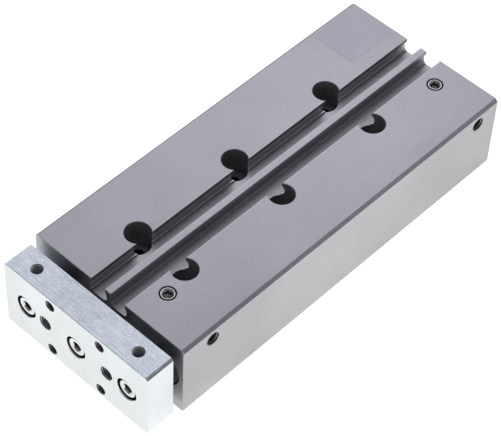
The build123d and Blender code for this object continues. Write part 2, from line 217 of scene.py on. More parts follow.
def hex_tool(origin, inward, width, depth, bevel):
    """Hexagon socket with a bevelled mouth as a cutting solid."""
    def hexagon(angle):
        part = (angle % (TURN / 6)) - TURN / 12
        return width / 2 / math.cos(part)

    def mouth(level):
        def radius(angle):
            return max(hexagon(angle), width / 2 + bevel - level)
        return radius
    above, drill_point = -0.5, width * 0.22
    rows = [(above, 0), (above, width / 2 + bevel), (0.0, width / 2 + bevel)]
    rows += [(level, mouth(level)) for level in (bevel * 0.25, bevel * 0.5, bevel * 0.75, bevel)]
    rows += [(depth, hexagon), (depth + drill_point, 0)]
    return surface("tool", origin, inward, rows, columns=48)


def inset_outline(outline, distance):
    """Convex outline with each side moved inwards by the distance."""
    sides = []
    for (y0, z0), (y1, z1) in zip(outline, outline[1:] + outline[:1]):
        length = math.hypot(y1 - y0, z1 - z0)
        normal = ((z1 - z0) / length, (y0 - y1) / length)
        if normal[0] * y0 + normal[1] * (z0 - AXIS_Z) > 0:
            normal = (-normal[0], -normal[1])
        sides.append((*normal, normal[0] * y0 + normal[1] * z0 + distance))
    points = []
    for (a0, b0, c0), (a1, b1, c1) in zip(sides[-1:] + sides[:-1], sides):
        det = a0 * b1 - a1 * b0
        points.append(((c0 * b1 - c1 * b0) / det, (a0 * c1 - a1 * c0) / det))
    return points


def prism(name, sections):
    """Solid through sections of (x, outline of (y, z) points)."""
    count = len(sections[0][1])
    vertices = [(x, y, z) for x, outline in sections for y, z in outline]
    last = len(vertices) - count
    faces = [tuple(range(count)), tuple(range(last + count - 1, last - 1, -1))]
    for start in range(0, last, count):
        for k in range(count):
            n = (k + 1) % count
            faces.append((start + k, start + n, start + count + n, start + count + k))
    return fix_normals(new_object(name, vertices, faces))


def round_edges(thing, width):
    bevel = thing.modifiers.new("edges", "BEVEL")
    bevel.width = width * MM
    bevel.segments = 2
    bevel.limit_method = "ANGLE"
    bevel.angle_limit = BEVEL_ANGLE
    bake_modifiers(thing)


def chamfered_bar(name, outline, start_x, end_x, start_break, end_break):
    """Bar with a convex outline and a chamfer of its own width around each end."""
    return prism(name, [
        (start_x, inset_outline(outline, start_break)), (start_x + start_break, outline),
        (end_x - end_break, outline), (end_x, inset_outline(outline, end_break))])


# Node tools

def fill_ramp(ramp, stops):
    """Gives a colour ramp its (position, colour) stops."""
    points = ramp.color_ramp.elements
    while len(points) < len(stops):
        points.new(0.5)
    for point, (position, colour) in zip(points, stops):
        point.position = position
        point.color = (*colour, 1.0)


class Shader:
    """A material's node tree around one Principled BSDF."""

    def __init__(self, name, **uniform):
        self.material = bpy.data.materials.new(name)
        self.material.use_nodes = True
        self.tree = self.material.node_tree
        self.bsdf = self.tree.nodes["Principled BSDF"]
        for socket, value in uniform.items():
            self.bsdf.inputs[socket.replace("_", " ")].default_value = value
        self.place = self.node("ShaderNodeTexCoord").outputs["Object"]

    def node(self, kind, **settings):
        made = self.tree.nodes.new(kind)
        for key, value in settings.items():
            setattr(made, key, value)
        return made

    def link(self, source, target):
        self.tree.links.new(source, target)

    def noise(self, per_mm, detail=3.0, rough=0.55, stretch=(1, 1, 1)):
        """Noise with per_mm features to the millimetre, drawn out along an axis by its stretch."""
        mapping = self.node("ShaderNodeMapping")
        mapping.inputs["Scale"].default_value = [per_mm / MM / s for s in stretch]
        self.link(self.place, mapping.inputs["Vector"])
        noise = self.node("ShaderNodeTexNoise")
        noise.inputs["Scale"].default_value = 1.0
        noise.inputs["Detail"].default_value = detail
        noise.inputs["Roughness"].default_value = rough
        self.link(mapping.outputs["Vector"], noise.inputs["Vector"])
        return noise.outputs["Fac"]

    def ramp(self, source, *stops):
        """Colour ramp through (position, colour) stops."""
        ramp = self.node("ShaderNodeValToRGB")
        fill_ramp(ramp, stops)
        self.link(source, ramp.inputs["Fac"])
        return ramp.outputs["Color"]

    def spread(self, source, low, high, start=0.3, end=0.7):
        """Values from low to high as the source goes from start to end."""
        spread = self.node("ShaderNodeMapRange")
        for socket, value in zip(("From Min", "From Max", "To Min", "To Max"), (start, end, low, high)):
            spread.inputs[socket].default_value = value
        self.link(source, spread.inputs["Value"])
        return spread.outputs["Result"]

    def mix(self, factor, a, b, blend="MIX"):
        mix = self.node("ShaderNodeMix", data_type="RGBA", blend_type=blend)
        for socket, value in ((mix.inputs[0], factor), (mix.inputs[6], a), (mix.inputs[7], b)):
            if isinstance(value, bpy.types.NodeSocket):
                self.link(value, socket)
            else:
                socket.default_value = value if isinstance(value, float) else (*value, 1.0)
        return mix.outputs[2]

    def add(self, a, b):
        total = self.node("ShaderNodeMath", operation="ADD")
        self.link(a, total.inputs[0])
        self.link(b, total.inputs[1])
        return total.outputs[0]

    def times(self, a, b):
        product = self.node("ShaderNodeMath", operation="MULTIPLY")
        self.link(a, product.inputs[0])
        if isinstance(b, float):
            product.inputs[1].default_value = b
        else:
            self.link(b, product.inputs[1])
        return product.outputs[0]

    def shelter(self, reach, low, start=0.3, end=0.8, own=True):
        """Falls from 1 in the open to low deep in holes and grooves, of this piece alone or of all."""
        open_share = self.node("ShaderNodeAmbientOcclusion", samples=4, only_local=own)
        open_share.inputs["Distance"].default_value = reach * MM
        return self.spread(open_share.outputs["AO"], low, 1.0, start=start, end=end)

    def normal(self):
        return self.node("ShaderNodeNewGeometry").outputs["Normal"]

    def facing(self, direction, start=0.96, end=0.99):
        """Rises from 0 to 1 as the face turns towards the direction."""
        likeness = self.node("ShaderNodeVectorMath", operation="DOT_PRODUCT")
        self.link(self.normal(), likeness.inputs[0])
        likeness.inputs[1].default_value = Vector(direction).normalized()
        return self.spread(likeness.outputs["Value"], 0.0, 1.0, start=start, end=end)

    def facing_either(self, axis, start, end):
        """Rises from 0 to 1 as the face turns to either side along the axis."""
        turned = self.node("ShaderNodeMath", operation="ABSOLUTE")
        self.link(self.part(self.normal(), axis), turned.inputs[0])
        return self.spread(turned.outputs[0], 0.0, 1.0, start=start, end=end)

    def part(self, vector, axis):
        parts = self.node("ShaderNodeSeparateXYZ")
        self.link(vector, parts.inputs[0])
        return parts.outputs[axis]

    def along(self, axis, low, high):
        """Rises from 0 to 1 as the place goes from low to high along the axis."""
        return self.spread(self.part(self.place, axis), 0.0, 1.0, start=low * MM, end=high * MM)

    def beyond(self, axis, centre, reach):
        """Rises from 0 to 1 where the place is further from the centre along the axis than the reach."""
        fade = 0.1
        offset = self.node("ShaderNodeMath", operation="SUBTRACT")
        self.link(self.part(self.place, axis), offset.inputs[0])
        offset.inputs[1].default_value = centre * MM
        far = self.node("ShaderNodeMath", operation="ABSOLUTE")
        self.link(offset.outputs[0], far.inputs[0])
        return self.spread(far.outputs[0], 0.0, 1.0, start=reach * MM, end=(reach + fade) * MM)

    def product(self, tone, factor):
        """The tone, multiplied by the factor everywhere."""
        return self.mix(1.0, tone, factor, "MULTIPLY")

    def tint(self, tone, mask, colour):
        """The tone, multiplied by the colour where the mask is 1."""
        return self.mix(mask, tone, self.product(tone, colour))

    def edges(self, width):
        """Rises from 0 on open faces to 1 at an edge, within the width of it."""
        rounded = self.node("ShaderNodeBevel", samples=4)
        rounded.inputs["Radius"].default_value = width * MM
        likeness = self.node("ShaderNodeVectorMath", operation="DOT_PRODUCT")
        self.link(rounded.outputs["Normal"], likeness.inputs[0])
        self.link(self.normal(), likeness.inputs[1])
        return self.spread(likeness.outputs["Value"], 1.0, 0.0, start=0.8, end=0.98)

    def bump(self, height, depth):
        bump = self.node("ShaderNodeBump")
        bump.inputs["Strength"].default_value = 1.0
        bump.inputs["Distance"].default_value = depth * MM
        self.link(height, bump.inputs["Height"])
        self.link(bump.outputs["Normal"], self.bsdf.inputs["Normal"])

    def set(self, socket, source):
        self.link(source, self.bsdf.inputs[socket])


def grey(value):
    return value, value, value


def metal(name, dark, light, roughness, patch=0.08, grain=6.0, stretch=(1, 1, 1), relief=0.004,
          metallic=1.0, recess_shade=None, forward_face_shade=None):
    """Metal with slow patches, fine grain and uneven gloss.

    The recess colour, if given, is painted shade deep in its recesses, speckled with painted
    highlights, and the front tint, if given, is painted shade on faces that look to the front (+x).
    """
    shader = Shader(name, Metallic=metallic)
    patches = shader.noise(patch, detail=2.0)
    fine = shader.noise(grain, detail=4.0, rough=0.6, stretch=stretch)
    tone = shader.ramp(patches, (0.3, dark), (0.7, light))
    tone = shader.product(tone, shader.spread(fine, 0.90, 1.06))
    if recess_shade:
        # Painted shade deep in the recesses, speckled with painted highlights, and painted shade where
        # other pieces come close
        speckle_highlight = (0.66, 0.61, 0.54)
        speckle = shader.ramp(
            shader.noise(2.2, detail=4.0, rough=0.7), (0.40, recess_shade), (0.54, speckle_highlight))
        tone = shader.mix(shader.shelter(3.0, 0.0, start=0.62, end=0.84), speckle, tone)
        tone = shader.product(tone, shader.shelter(1.6, 0.2, start=0.4, end=0.8, own=False))
    else:
        # Painted shade in hollows and where other pieces come close
        tone = shader.product(tone, shader.shelter(1.5, 0.12, own=False))
        # Painted shade on faces that look to the front
        if forward_face_shade:
            tone = shader.mix(
                shader.facing((1, 0, 0), 0.8, 0.95), shader.product(tone, forward_face_shade), tone)
        # Painted highlights on the edges
        edge_highlight = tuple(min(1.0, 1.6 * v + 0.1) for v in light)
        tone = shader.mix(shader.edges(0.12), tone, edge_highlight)
    shader.set("Base Color", tone)
    shader.set("Roughness", shader.spread(fine, roughness[0], roughness[1]))
    shader.bump(fine, relief)
    return shader.material


def sawn_front_and_shade(shader):
    """Factor for the sawn front end: its saw lines, and, while the yoke plate shelters it, painted shade
    on its top and painted light on its foot and port end.
    """
    # Painted shade and light: darker towards the top, lighter towards the foot
    height = shader.ramp(
        shader.along("Z", 2, HEIGHT), (0.0, (1.15, 1.2, 1.14)), (0.3, (1.2, 1.25, 1.2)),
        (0.55, (1.15, 1.2, 1.27)), (0.8, (0.78, 0.82, 0.95)), (1.0, (0.8, 0.84, 0.93)))
    # Painted light towards the port end
    port_end_light = shader.ramp(
        shader.along("Y", HALF_WIDTH - 4, HALF_WIDTH),
        (0.0, WHITE), (0.3, grey(1.15)), (1.0, (2.0, 1.98, 1.95)))
    port_end_light = shader.mix(shader.along("Z", 2, 9), grey(0.85), port_end_light)
    in_open = shader.shelter(7.0, 0.0, start=0.35, end=0.75, own=False)
    height = shader.mix(in_open, shader.product(height, port_end_light), WHITE)
    saw_lines = shader.noise(3.0, detail=2.0, stretch=(1, 30, 1))
    return shader.product(height, shader.spread(saw_lines, 0.8, 1.1))


def anodised_faces(shader, tone):
    """Each outer face of the housing has its own cast of painted light, and its chamfer faces have
    painted shade.
    """
    tone = shader.tint(tone, shader.facing((1, 0, 0), 0.9), sawn_front_and_shade(shader))
    # Painted light: the side and top faces are made lighter and darker along and across the housing
    length = shader.along("X", REAR_X, FRONT_X)
    side = shader.ramp(
        length, (0.0, (0.84, 0.845, 0.82)), (0.25, (0.95, 0.955, 0.93)), (0.6, (0.98, 0.985, 0.96)))
    tone = shader.tint(tone, shader.facing((0, 1, 0), 0.95), side)
    top = shader.ramp(
        length, (0.0, grey(1.02)), (0.3, (1.075, 1.075, 1.08)), (0.55, grey(1.05)),
        (0.8, grey(0.99)), (1.0, grey(0.96)))
    across = shader.ramp(
        shader.along("Y", -HALF_WIDTH, HALF_WIDTH), (0.0, WHITE), (0.2, grey(1.025)),
        (0.7, grey(1.025)), (0.86, grey(0.99)), (1.0, grey(0.94)))
    tone = shader.tint(tone, shader.facing((0, 0, 1), 0.95), shader.product(top, across))
    # Painted shade on the top and bottom chamfer faces of the port side
    tone = shader.tint(tone, shader.facing((0, 1, 1)), (0.8, 0.8, 0.85))
    tone = shader.tint(tone, shader.facing((0, 1, -1)), (0.8, 0.8, 0.78))
    # Painted highlights: the top face is lighter in thin lines along the slot edges that face the far
    # side
    for edge_y in (SLOT_OUTER, -SLOT_INNER):
        off_line = shader.beyond("Y", edge_y + 0.12, 0.2)
        line = shader.mix(off_line, shader.facing((0, 0, 1), 0.9), BLACK)
        tone = shader.tint(tone, line, (1.22, 1.22, 1.21))
    # Painted shade: thin edge facets that face these three ways are darkened
    for shaded_edge in ((0, -1, 1), (-1, 0, 1), (1, 0, -1)):
        tone = shader.tint(tone, shader.facing(shaded_edge), (0.25, 0.25, 0.22))
    return tone


def anodised_slots(shader, tone):
    """Painted shade on the slot walls, and painted light on the floors, the rib top and the ledges."""
    past_slots = shader.beyond("Y", 0, SLOT_OUTER + 0.3)
    port_half = shader.along("Y", -1, 1)
    walls = shader.mix(past_slots, shader.facing_either("Y", 0.6, 0.9), BLACK)
    tone = shader.tint(tone, walls, shader.mix(port_half, (0.3, 0.3, 0.32), (0.72, 0.72, 0.76)))
    level = shader.mix(past_slots, shader.facing((0, 0, 1), 0.9), BLACK)
    floors = shader.mix(port_half, (1.17, 1.17, 1.16), (1.06, 1.06, 1.05))
    rib_top = (1.03, 1.03, 1.02)
    past_rib = shader.beyond("Y", 0, SLOT_INNER)
    tone = shader.tint(tone, level, shader.mix(past_rib, rib_top, floors))
    # Painted highlight along the ledges
    off_ledges = shader.beyond("Z", HEIGHT - SLOT_DEPTH + LEDGE_RISE, 0.2)
    return shader.tint(tone, shader.mix(off_ledges, level, BLACK), (1.35, 1.34, 1.31))


def anodised():
    """Matt anodised extrusion: soft clouding, a blasted grain and faint lines along the pull."""
    shader = Shader("anodised_aluminium", Metallic=0.92)
    clouds = shader.noise(0.045, detail=3.0, rough=0.5)
    grain = shader.noise(2.2, detail=5.0, rough=0.7)
    lines = shader.noise(2.2, detail=2.0, stretch=(60, 1, 1))
    tone = shader.ramp(clouds, (0.32, (0.605, 0.605, 0.615)), (0.68, (0.655, 0.655, 0.665)))
    tone = shader.product(tone, shader.spread(grain, 0.84, 1.16))
    tone = shader.product(tone, shader.spread(lines, 0.98, 1.02))
    # Painted shade in the housing's own holes and grooves
    tone = shader.product(tone, shader.shelter(5.0, 0.2))
    tone = anodised_faces(shader, tone)
    tone = anodised_slots(shader, tone)
    # Painted shade inside the side ports
    near_sides = shader.beyond("Y", 0, HALF_WIDTH - 7)
    port_shade = shader.mix(near_sides, WHITE, shader.shelter(5.0, 0.08, start=0.58, end=0.99))
    tone = shader.product(tone, port_shade)
    # Painted highlights on the edges, but at the sawn front end only on the top one, whose chamfer face
    # is painted lighter
    front_end = shader.along("X", FRONT_X - 0.5, FRONT_X - 0.4)
    tone = shader.mix(shader.edges(0.25), tone, shader.mix(front_end, (0.84, 0.835, 0.86), tone))
    tone = shader.tint(tone, shader.facing((1, 0, 1)), (1.9, 1.88, 1.8))
    shader.set("Base Color", tone)
    shader.set("Roughness", shader.spread(grain, 0.42, 0.56))
    shader.bump(shader.add(grain, shader.spread(lines, 0.0, 0.25)), 0.012)
    return shader.material


def plated():
    """Bright plated steel: mottled bluish patches over fine milling marks across the plate."""
    shader = Shader("plated_steel", Metallic=1.0)
    clouds = shader.noise(0.09, detail=2.0)
    mottle = shader.noise(2.4, detail=4.0, rough=0.8, stretch=(1.8, 1, 1))
    marks = shader.noise(7.0, detail=2.0, stretch=(1, 25, 1))
    streaks = shader.noise(2.4, detail=3.0, rough=0.6, stretch=(1, 16, 1))
    blotches = shader.noise(0.4, detail=3.0)
    rich = shader.ramp(
        mottle, (0.34, (0.58, 0.62, 0.64)), (0.5, (0.77, 0.82, 0.835)), (0.66, (0.97, 0.98, 0.98)))
    rich = shader.product(rich, shader.spread(streaks, 0.84, 1.14))
    rich = shader.product(
        rich, shader.ramp(blotches, (0.36, (0.90, 0.94, 0.98)), (0.62, (1.05, 1.05, 1.04))))
    calm = shader.ramp(mottle, (0.3, (0.83, 0.88, 0.885)), (0.7, (0.885, 0.92, 0.915)))
    cast = shader.ramp(
        shader.noise(0.16, detail=2.0), (0.36, (1.0, 0.975, 0.99)), (0.62, (0.985, 1.0, 0.985)))
    calm = shader.product(calm, cast)
    tone = shader.mix(shader.facing((0, 0, 1), 0.5, 0.9), calm, rich)
    tone = shader.product(tone, shader.spread(clouds, 0.96, 1.03))
    # Painted light: the front, top and side faces are made lighter or darker, the front and top in bands
    # across the plate
    width = shader.along("Y", -PLATE_HALF_WIDTH, PLATE_HALF_WIDTH)
    front = shader.ramp(
        width, (0.0, (0.89, 0.88, 0.86)), (0.2, (1.0, 0.995, 0.98)), (0.8, (1.0, 1.0, 0.985)))
    tone = shader.tint(tone, shader.facing((1, 0, 0), 0.9), front)
    top = shader.ramp(
        width, (0.18, WHITE), (0.35, grey(0.92)), (0.55, grey(0.94)), (0.75, grey(1.01)))
    tone = shader.tint(tone, shader.facing((0, 0, 1), 0.9), top)
    tone = shader.tint(tone, shader.facing((0, 1, 0), 0.9), (1.03, 1.04, 1.03))
    # The back has painted shade, and so has the lower facet of each top chamfer
    tone = shader.tint(tone, shader.facing((-1, 0, 0), 0.9), (0.2, 0.2, 0.21))
    strokes = shader.spread(shader.noise(2.4, detail=3.0, rough=0.7), 0.6, 1.35)
    for side in (1, -1):
        tone = shader.tint(tone, shader.facing((0, side, 1), 0.9, 0.97), strokes)
        shaded_facet = shader.facing((0, side * CHAMFER_LOW[1], CHAMFER_LOW[0]), 0.985, 0.999)
        tone = shader.tint(tone, shaded_facet, (0.35, 0.36, 0.42))
    # Painted shade inside the holes, in the two in the top edge only deep down
    top_holes = shader.times(
        shader.beyond("Y", 0, GUIDE_Y - 3), shader.beyond("Z", 0, AXIS_Z + PLATE_HALF_HEIGHT / 2))
    front_shade = shader.shelter(4.5, 0.26, start=0.5, end=0.99)
    top_shade = shader.shelter(4.0, 0.2, start=0.02, end=0.3)
    tone = shader.product(tone, shader.mix(top_holes, front_shade, top_shade))
    # Painted shade, darker still, in the narrow gaps round the screw heads
    screw_gap_shade = shader.shelter(1.5, 0.08, start=0.4, end=0.85, own=False)
    at_front = shader.along("X", PLATE_FRONT - 0.35, PLATE_FRONT - 0.25)
    tone = shader.product(tone, shader.mix(at_front, screw_gap_shade, WHITE))
    shader.set("Base Color", tone)
    shader.set("Roughness", shader.spread(mottle, 0.24, 0.4))
    shader.bump(shader.add(mottle, shader.spread(marks, 0.0, 0.3)), 0.01)
    return shader.material


def rubber(name, colour):
    shader = Shader(name, Metallic=0.0)
    fine = shader.noise(5.0, detail=3.0)
    light = tuple(min(1.0, c * 1.5 + 0.01) for c in colour)
    shader.set("Base Color", shader.ramp(fine, (0.3, colour), (0.75, light)))
    shader.set("Roughness", shader.spread(fine, 0.5, 0.72))
    shader.bump(fine, 0.01)
    return shader.material


def felt():
    shader = Shader("felt", Metallic=0.0, Sheen_Weight=0.3)
    fibres = shader.noise(3.5, detail=6.0, rough=0.75)
    tone = shader.ramp(fibres, (0.3, (0.09, 0.075, 0.05)), (0.7, (0.22, 0.19, 0.13)))
    shader.set("Base Color", tone)
    shader.set("Roughness", shader.spread(fibres, 0.8, 0.98))
    shader.bump(fibres, 0.08)
    return shader.material


def film():
    """Blank satin label film."""
    shader = Shader("label_film", Metallic=0.75)
    clouds = shader.noise(0.12, detail=2.0)
    grain = shader.noise(5.0, detail=3.0)
    tone = shader.ramp(clouds, (0.3, (0.59, 0.595, 0.615)), (0.7, (0.62, 0.625, 0.645)))
    shader.set("Base Color", tone)
    shader.set("Roughness", shader.spread(grain, 0.36, 0.46))
    shader.bump(grain, 0.003)
    return shader.material


materials = {
    "anodised_aluminium": anodised(),
    "plated_steel": plated(),
    "cover_aluminium": metal(
        "cover_aluminium", (0.58, 0.58, 0.59), (0.68, 0.68, 0.69), (0.26, 0.42), stretch=(1, 8, 8)),
    "screw_steel": metal(
        "screw_steel", (0.84, 0.85, 0.85), (0.95, 0.96, 0.96), (0.2, 0.34), patch=0.5, grain=9.0,
        recess_shade=(0.03, 0.029, 0.026)),
    "ground_steel": metal(
        "ground_steel", (0.74, 0.75, 0.76), (0.82, 0.83, 0.84), (0.06, 0.14), grain=12.0,
        stretch=(0.15, 1, 1), relief=0.001),
    "spring_steel": metal("spring_steel", (0.07, 0.065, 0.06), (0.14, 0.13, 0.12), (0.3, 0.5)),
    "bronze": metal(
        "bronze", (0.11, 0.095, 0.065), (0.17, 0.145, 0.10), (0.35, 0.55), grain=4.0, relief=0.01,
        forward_face_shade=grey(0.12)),
    "magnet": metal("magnet", grey(0.045), (0.075, 0.072, 0.07), (0.55, 0.7), metallic=0.2),
    "bearing_plastic": metal(
        "bearing_plastic", (0.16, 0.11, 0.07), (0.2, 0.14, 0.09), (0.4, 0.55), metallic=0.0),
    "nitrile_rubber": rubber("nitrile_rubber", grey(0.012)),
    "bumper_rubber": rubber("bumper_rubber", (0.2, 0.12, 0.03)),
    "felt": felt(),
}
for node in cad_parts.values():
    for place in node.material_slots:
        place.material = materials[place.material.name.split(".")[0]]


# Housing

def slot_wall(side, outer):
    """Points from a slot's lip edge to its floor, down a wall that bows out to the side, -1 or 1."""
    lip, floor = HEIGHT - SLOT_LIP, HEIGHT - SLOT_DEPTH
    half = (lip - floor) / 2
    radius = (half * half + SLOT_BELLY * SLOT_BELLY) / (2 * SLOT_BELLY)
    middle = (lip + floor) / 2
    reach = math.asin(half / radius)
    points = [(outer + side * EDGE_ROUND, HEIGHT), (outer, HEIGHT - EDGE_ROUND)]
    steps = 16
    for i in range(steps):
        angle = reach - 2 * reach * i / steps
        across = outer + side * (radius * math.cos(angle) - radius + SLOT_BELLY)
        height = middle + radius * math.sin(angle)
        if height > floor + LEDGE_RISE + 0.05:
            points.append((across, height))
    inside = outer - side * SLOT_LEDGE
    return points + [(points[-1][0], floor + LEDGE_RISE), (inside, floor + LEDGE_RISE), (inside, floor)]


def slot_tool(inner, outer):
    """Sensor slot as a cutting solid, with its lips' edges broken."""
    above = HEIGHT + OUT
    walls = slot_wall(-1, inner) + slot_wall(1, outer)[::-1]
    outline = [(inner - EDGE_ROUND, above)] + walls + [(outer + EDGE_ROUND, above)]
    return prism("tool", [(REAR_X - OUT, outline), (FRONT_X + OUT, outline)])


def cut_bores(body):
    """The bore, with a seat, ring groove and bevelled mouth at each end, and the two guide bores."""
    length = FRONT_X - REAR_X
    groove_start, groove_end = 0.8, 1.9
    rear_seat_end, front_seat_start, guide_seat_start = 5.5, 128.0, 104.5
    mouth = COVER_SEAT + BEVEL
    seat = [
        (0, mouth), (BEVEL, COVER_SEAT), (groove_start, COVER_SEAT), (groove_start, RING_GROOVE),
        (groove_end, RING_GROOVE), (groove_end, COVER_SEAT)]
    bore = [
        (-OUT, 0), (-OUT, mouth), *seat, (rear_seat_end, COVER_SEAT), (rear_seat_end, BORE_RADIUS),
        (front_seat_start, BORE_RADIUS), (front_seat_start, COVER_SEAT)]
    bore += [(length - distance, radius) for distance, radius in reversed(seat)]
    bore += [(length + OUT, mouth), (length + OUT, 0)]
    cut(body, surface("tool", (REAR_X, 0, AXIS_Z), (1, 0, 0), bore, columns=96))
    rear_mouth, front_mouth = GUIDE_CHANNEL + BEVEL, GUIDE_SEAT + BEVEL
    guide = [
        (-OUT, 0), (-OUT, rear_mouth), (0, rear_mouth), (BEVEL, GUIDE_CHANNEL),
        (guide_seat_start, GUIDE_CHANNEL), (guide_seat_start, GUIDE_SEAT), (length - BEVEL, GUIDE_SEAT),
        (length, front_mouth), (length + OUT, front_mouth), (length + OUT, 0)]
    for y in (GUIDE_Y, -GUIDE_Y):
        cut(body, surface("tool", (REAR_X, y, AXIS_Z), (1, 0, 0), guide, columns=96))


def cut_mounts(body):
    """Six mounting holes through the housing, counterbored from the top."""
    bottom_break = 0.3
    bottom, mouth = MOUNT_RADIUS + bottom_break, COUNTERBORE + EDGE_ROUND
    mount = [
        (-OUT, 0), (-OUT, bottom), (0, bottom), (bottom_break, MOUNT_RADIUS),
        (COUNTERBORE_FLOOR, MOUNT_RADIUS), (COUNTERBORE_FLOOR, COUNTERBORE),
        (HEIGHT - EDGE_ROUND, COUNTERBORE), (HEIGHT, mouth), (HEIGHT + OUT, mouth), (HEIGHT + OUT, 0)]
    for x in MOUNT_X:
        for y in (MOUNT_Y, -MOUNT_Y):
            cut(body, surface("tool", (x, y, 0), (0, 0, 1), mount, columns=80))


def cut_port(body, x):
    """Side port, the top port for a plug, and the air passages from port to port and to the bore."""
    side, inward = (x, HALF_WIDTH, PORT_Z), (0, -1, 0)
    cut(body, threaded_tool(side, inward, M5, depth=5.4, mouth=0.3, core_depth=6.0))
    start, end, passage = 3.0, HALF_WIDTH - PORT_Y, 1.25
    rows = [(start, 0), (start, passage), (end, passage), (end, 0)]
    cut(body, surface("tool", side, inward, rows, columns=32))
    mouth, plug_hole, plug_depth, core, depth = 2.76, 2.6, 3.3, M5[0], 6.2
    rows = [
        (-OUT, 0), (-OUT, mouth), (0, mouth), (EDGE_ROUND, plug_hole), (plug_depth, plug_hole),
        (plug_depth, core), (depth, core), (depth, 0)]
    cut(body, surface("tool", (x, PORT_Y, HEIGHT), (0, 0, -1), rows, columns=64))
    branch = 1.0
    corner = Vector((x, PORT_Y, HEIGHT - depth + branch))
    inclined = Vector((x, 0, AXIS_Z)) - corner
    rows = [(0, 0), (0, branch), (inclined.length, branch), (inclined.length, 0)]
    cut(body, surface("tool", corner, inclined, rows, columns=24))


def build_housing():
    top, bottom = HALF_WIDTH - TOP_CHAMFER, HALF_WIDTH - BOTTOM_CHAMFER
    shoulder = HEIGHT - TOP_CHAMFER
    outline = [
        (-HALF_WIDTH, BOTTOM_CHAMFER), (-HALF_WIDTH, shoulder), (-top, HEIGHT), (top, HEIGHT),
        (HALF_WIDTH, shoulder), (HALF_WIDTH, BOTTOM_CHAMFER), (bottom, 0), (-bottom, 0)]
    body = chamfered_bar("housing_dressed", outline, REAR_X, FRONT_X, REAR_BREAK, END_CHAMFER)
    round_edges(body, EDGE_ROUND / 2)
    cut(body, slot_tool(-SLOT_OUTER, -SLOT_INNER))
    cut(body, slot_tool(SLOT_INNER, SLOT_OUTER))
    cut_bores(body)
    cut_mounts(body)
    for x in PORT_X:
        cut_port(body, x)
    shade(body)
    finish(body, "cylinder_body", materials["anodised_aluminium"], ["housing"])


build_housing()


# Plugs in the top ports

def build_plug(name, x):
    """Socket plug with a narrower head, just below the top face."""
    sunk, crest, root, pitch, length = 0.08, M5[1], 2.12, M5[2], 3.0
    top, inward = (x, PORT_Y, HEIGHT - sunk), (0, 0, -1)
    rows = [(0, 0), (0, 2.05), (0.06, 2.13), (0.9, 2.16), (1.0, crest)]
    rows += thread_rows(1.02, 2.68, crest, root, pitch)
    rows += [(2.7, crest), (length, 2.2), (length, 0)]
    plug = surface(f"{name}_port_plug_dressed", top, inward, rows, columns=48)
    cut(plug, hex_tool(top, inward, width=2.5, depth=1.8, bevel=0.62))
    shade(plug)
    finish(plug, "cylinder_body", materials["screw_steel"], [f"{name}_port_plug"])


for name, x in zip(("front", "rear"), PORT_X):
    build_plug(name, x)


# Yoke plate

def build_plate():
    w, h, c = PLATE_HALF_WIDTH, PLATE_HALF_HEIGHT, PLATE_CHAMFER
    low, high = AXIS_Z - h, AXIS_Z + h
    run, rise = CHAMFER_LOW
    outline = [
        (-w, low + c), (-w, high - c), (run - w, high - c + rise), (c - w, high), (w - c, high),
        (w - run, high - c + rise), (w, high - c), (w, low + c), (w - c, low), (c - w, low)]
    plate = chamfered_bar(
        "yoke_plate_dressed", outline, PLATE_BACK, PLATE_FRONT, PLATE_EDGE / 2, PLATE_EDGE)
    round_edges(plate, EDGE_ROUND / 2)
    inward = (-1, 0, 0)
    thick, past = PLATE_FRONT - PLATE_BACK, 1.0
    mouth, head_hole, shank_hole, head_depth, rod_start = 4.08, 3.8, 2.25, 4.5, thick - 1.5
    for y, rod_hole in ((0, 3.03), (GUIDE_Y, 4.03), (-GUIDE_Y, 4.03)):
        rows = [
            (-past, 0), (-past, mouth), (0, mouth), (0.25, head_hole), (head_depth, head_hole),
            (head_depth, shank_hole), (rod_start, shank_hole), (rod_start, rod_hole),
            (thick + past, rod_hole), (thick + past, 0)]
        cut(plate, surface("tool", (PLATE_FRONT, y, AXIS_Z), inward, rows, columns=72))
    for y in (SQUARE_HALF, -SQUARE_HALF):
        for z in (AXIS_Z + SQUARE_HALF, AXIS_Z - SQUARE_HALF):
            cut(plate, threaded_tool((PLATE_FRONT, y, z), inward, WORN_M4, thick + past, mouth=0.12))
    for y in (PAIR_HALF, -PAIR_HALF):
        cut(plate, threaded_tool((PLATE_FRONT, y, AXIS_Z), inward, WORN_M5, thick + past, mouth=0.14))
    for y in (GUIDE_Y, -GUIDE_Y):
        top = (PLATE_BACK + thick / 2, y, high)
        cut(plate, threaded_tool(top, (0, 0, -1), M4, depth=7.0, mouth=0.3, core_depth=8.0))
    shade(plate)
    finish(plate, "slide", materials["plated_steel"], ["yoke_plate"])


build_plate()


# Socket head screws

def build_screw(node, y):
    """Screw with a knurled, bevelled head and a thread from below its neck."""
    head, height, length, grooves, groove_depth = 3.5, 4.0, 12.0, 48, 0.11
    crest, root, pitch = M4[1], 1.62, M4[2]

    def knurled(angle):
        return head - groove_depth * (0.5 + 0.5 * math.cos(grooves * angle))
    rows = [
        (0, 0), (0, head - 0.6), (0.08, head - 0.52), (0.8, head - 0.4), (1.0, knurled),
        (height - 0.4, knurled), (height - 0.3, head - 0.12), (height, head - 0.2), (height, crest)]
    rows += thread_rows(height + 0.7, height + length - 0.4, crest, root, pitch)
    rows += [(height + length, crest - 0.4), (height + length, 0)]
    top, inward = (PLATE_FRONT - 0.5, y, AXIS_Z), (-1, 0, 0)
    screw = surface(f"{node}_dressed", top, inward, rows, columns=2 * grooves)
    cut(screw, hex_tool(top, inward, width=3.0, depth=2.0, bevel=0.45))
    shade(screw)
    finish(screw, "slide", materials["screw_steel"], [node])


screws = {
    "piston_rod_screw": 0,
    "guide_rod_screw_port_side": GUIDE_Y,
    "guide_rod_screw_far_side": -GUIDE_Y,
}
for node, y in screws.items():
    build_screw(node, y)


# Blank label film on the rear of the top face

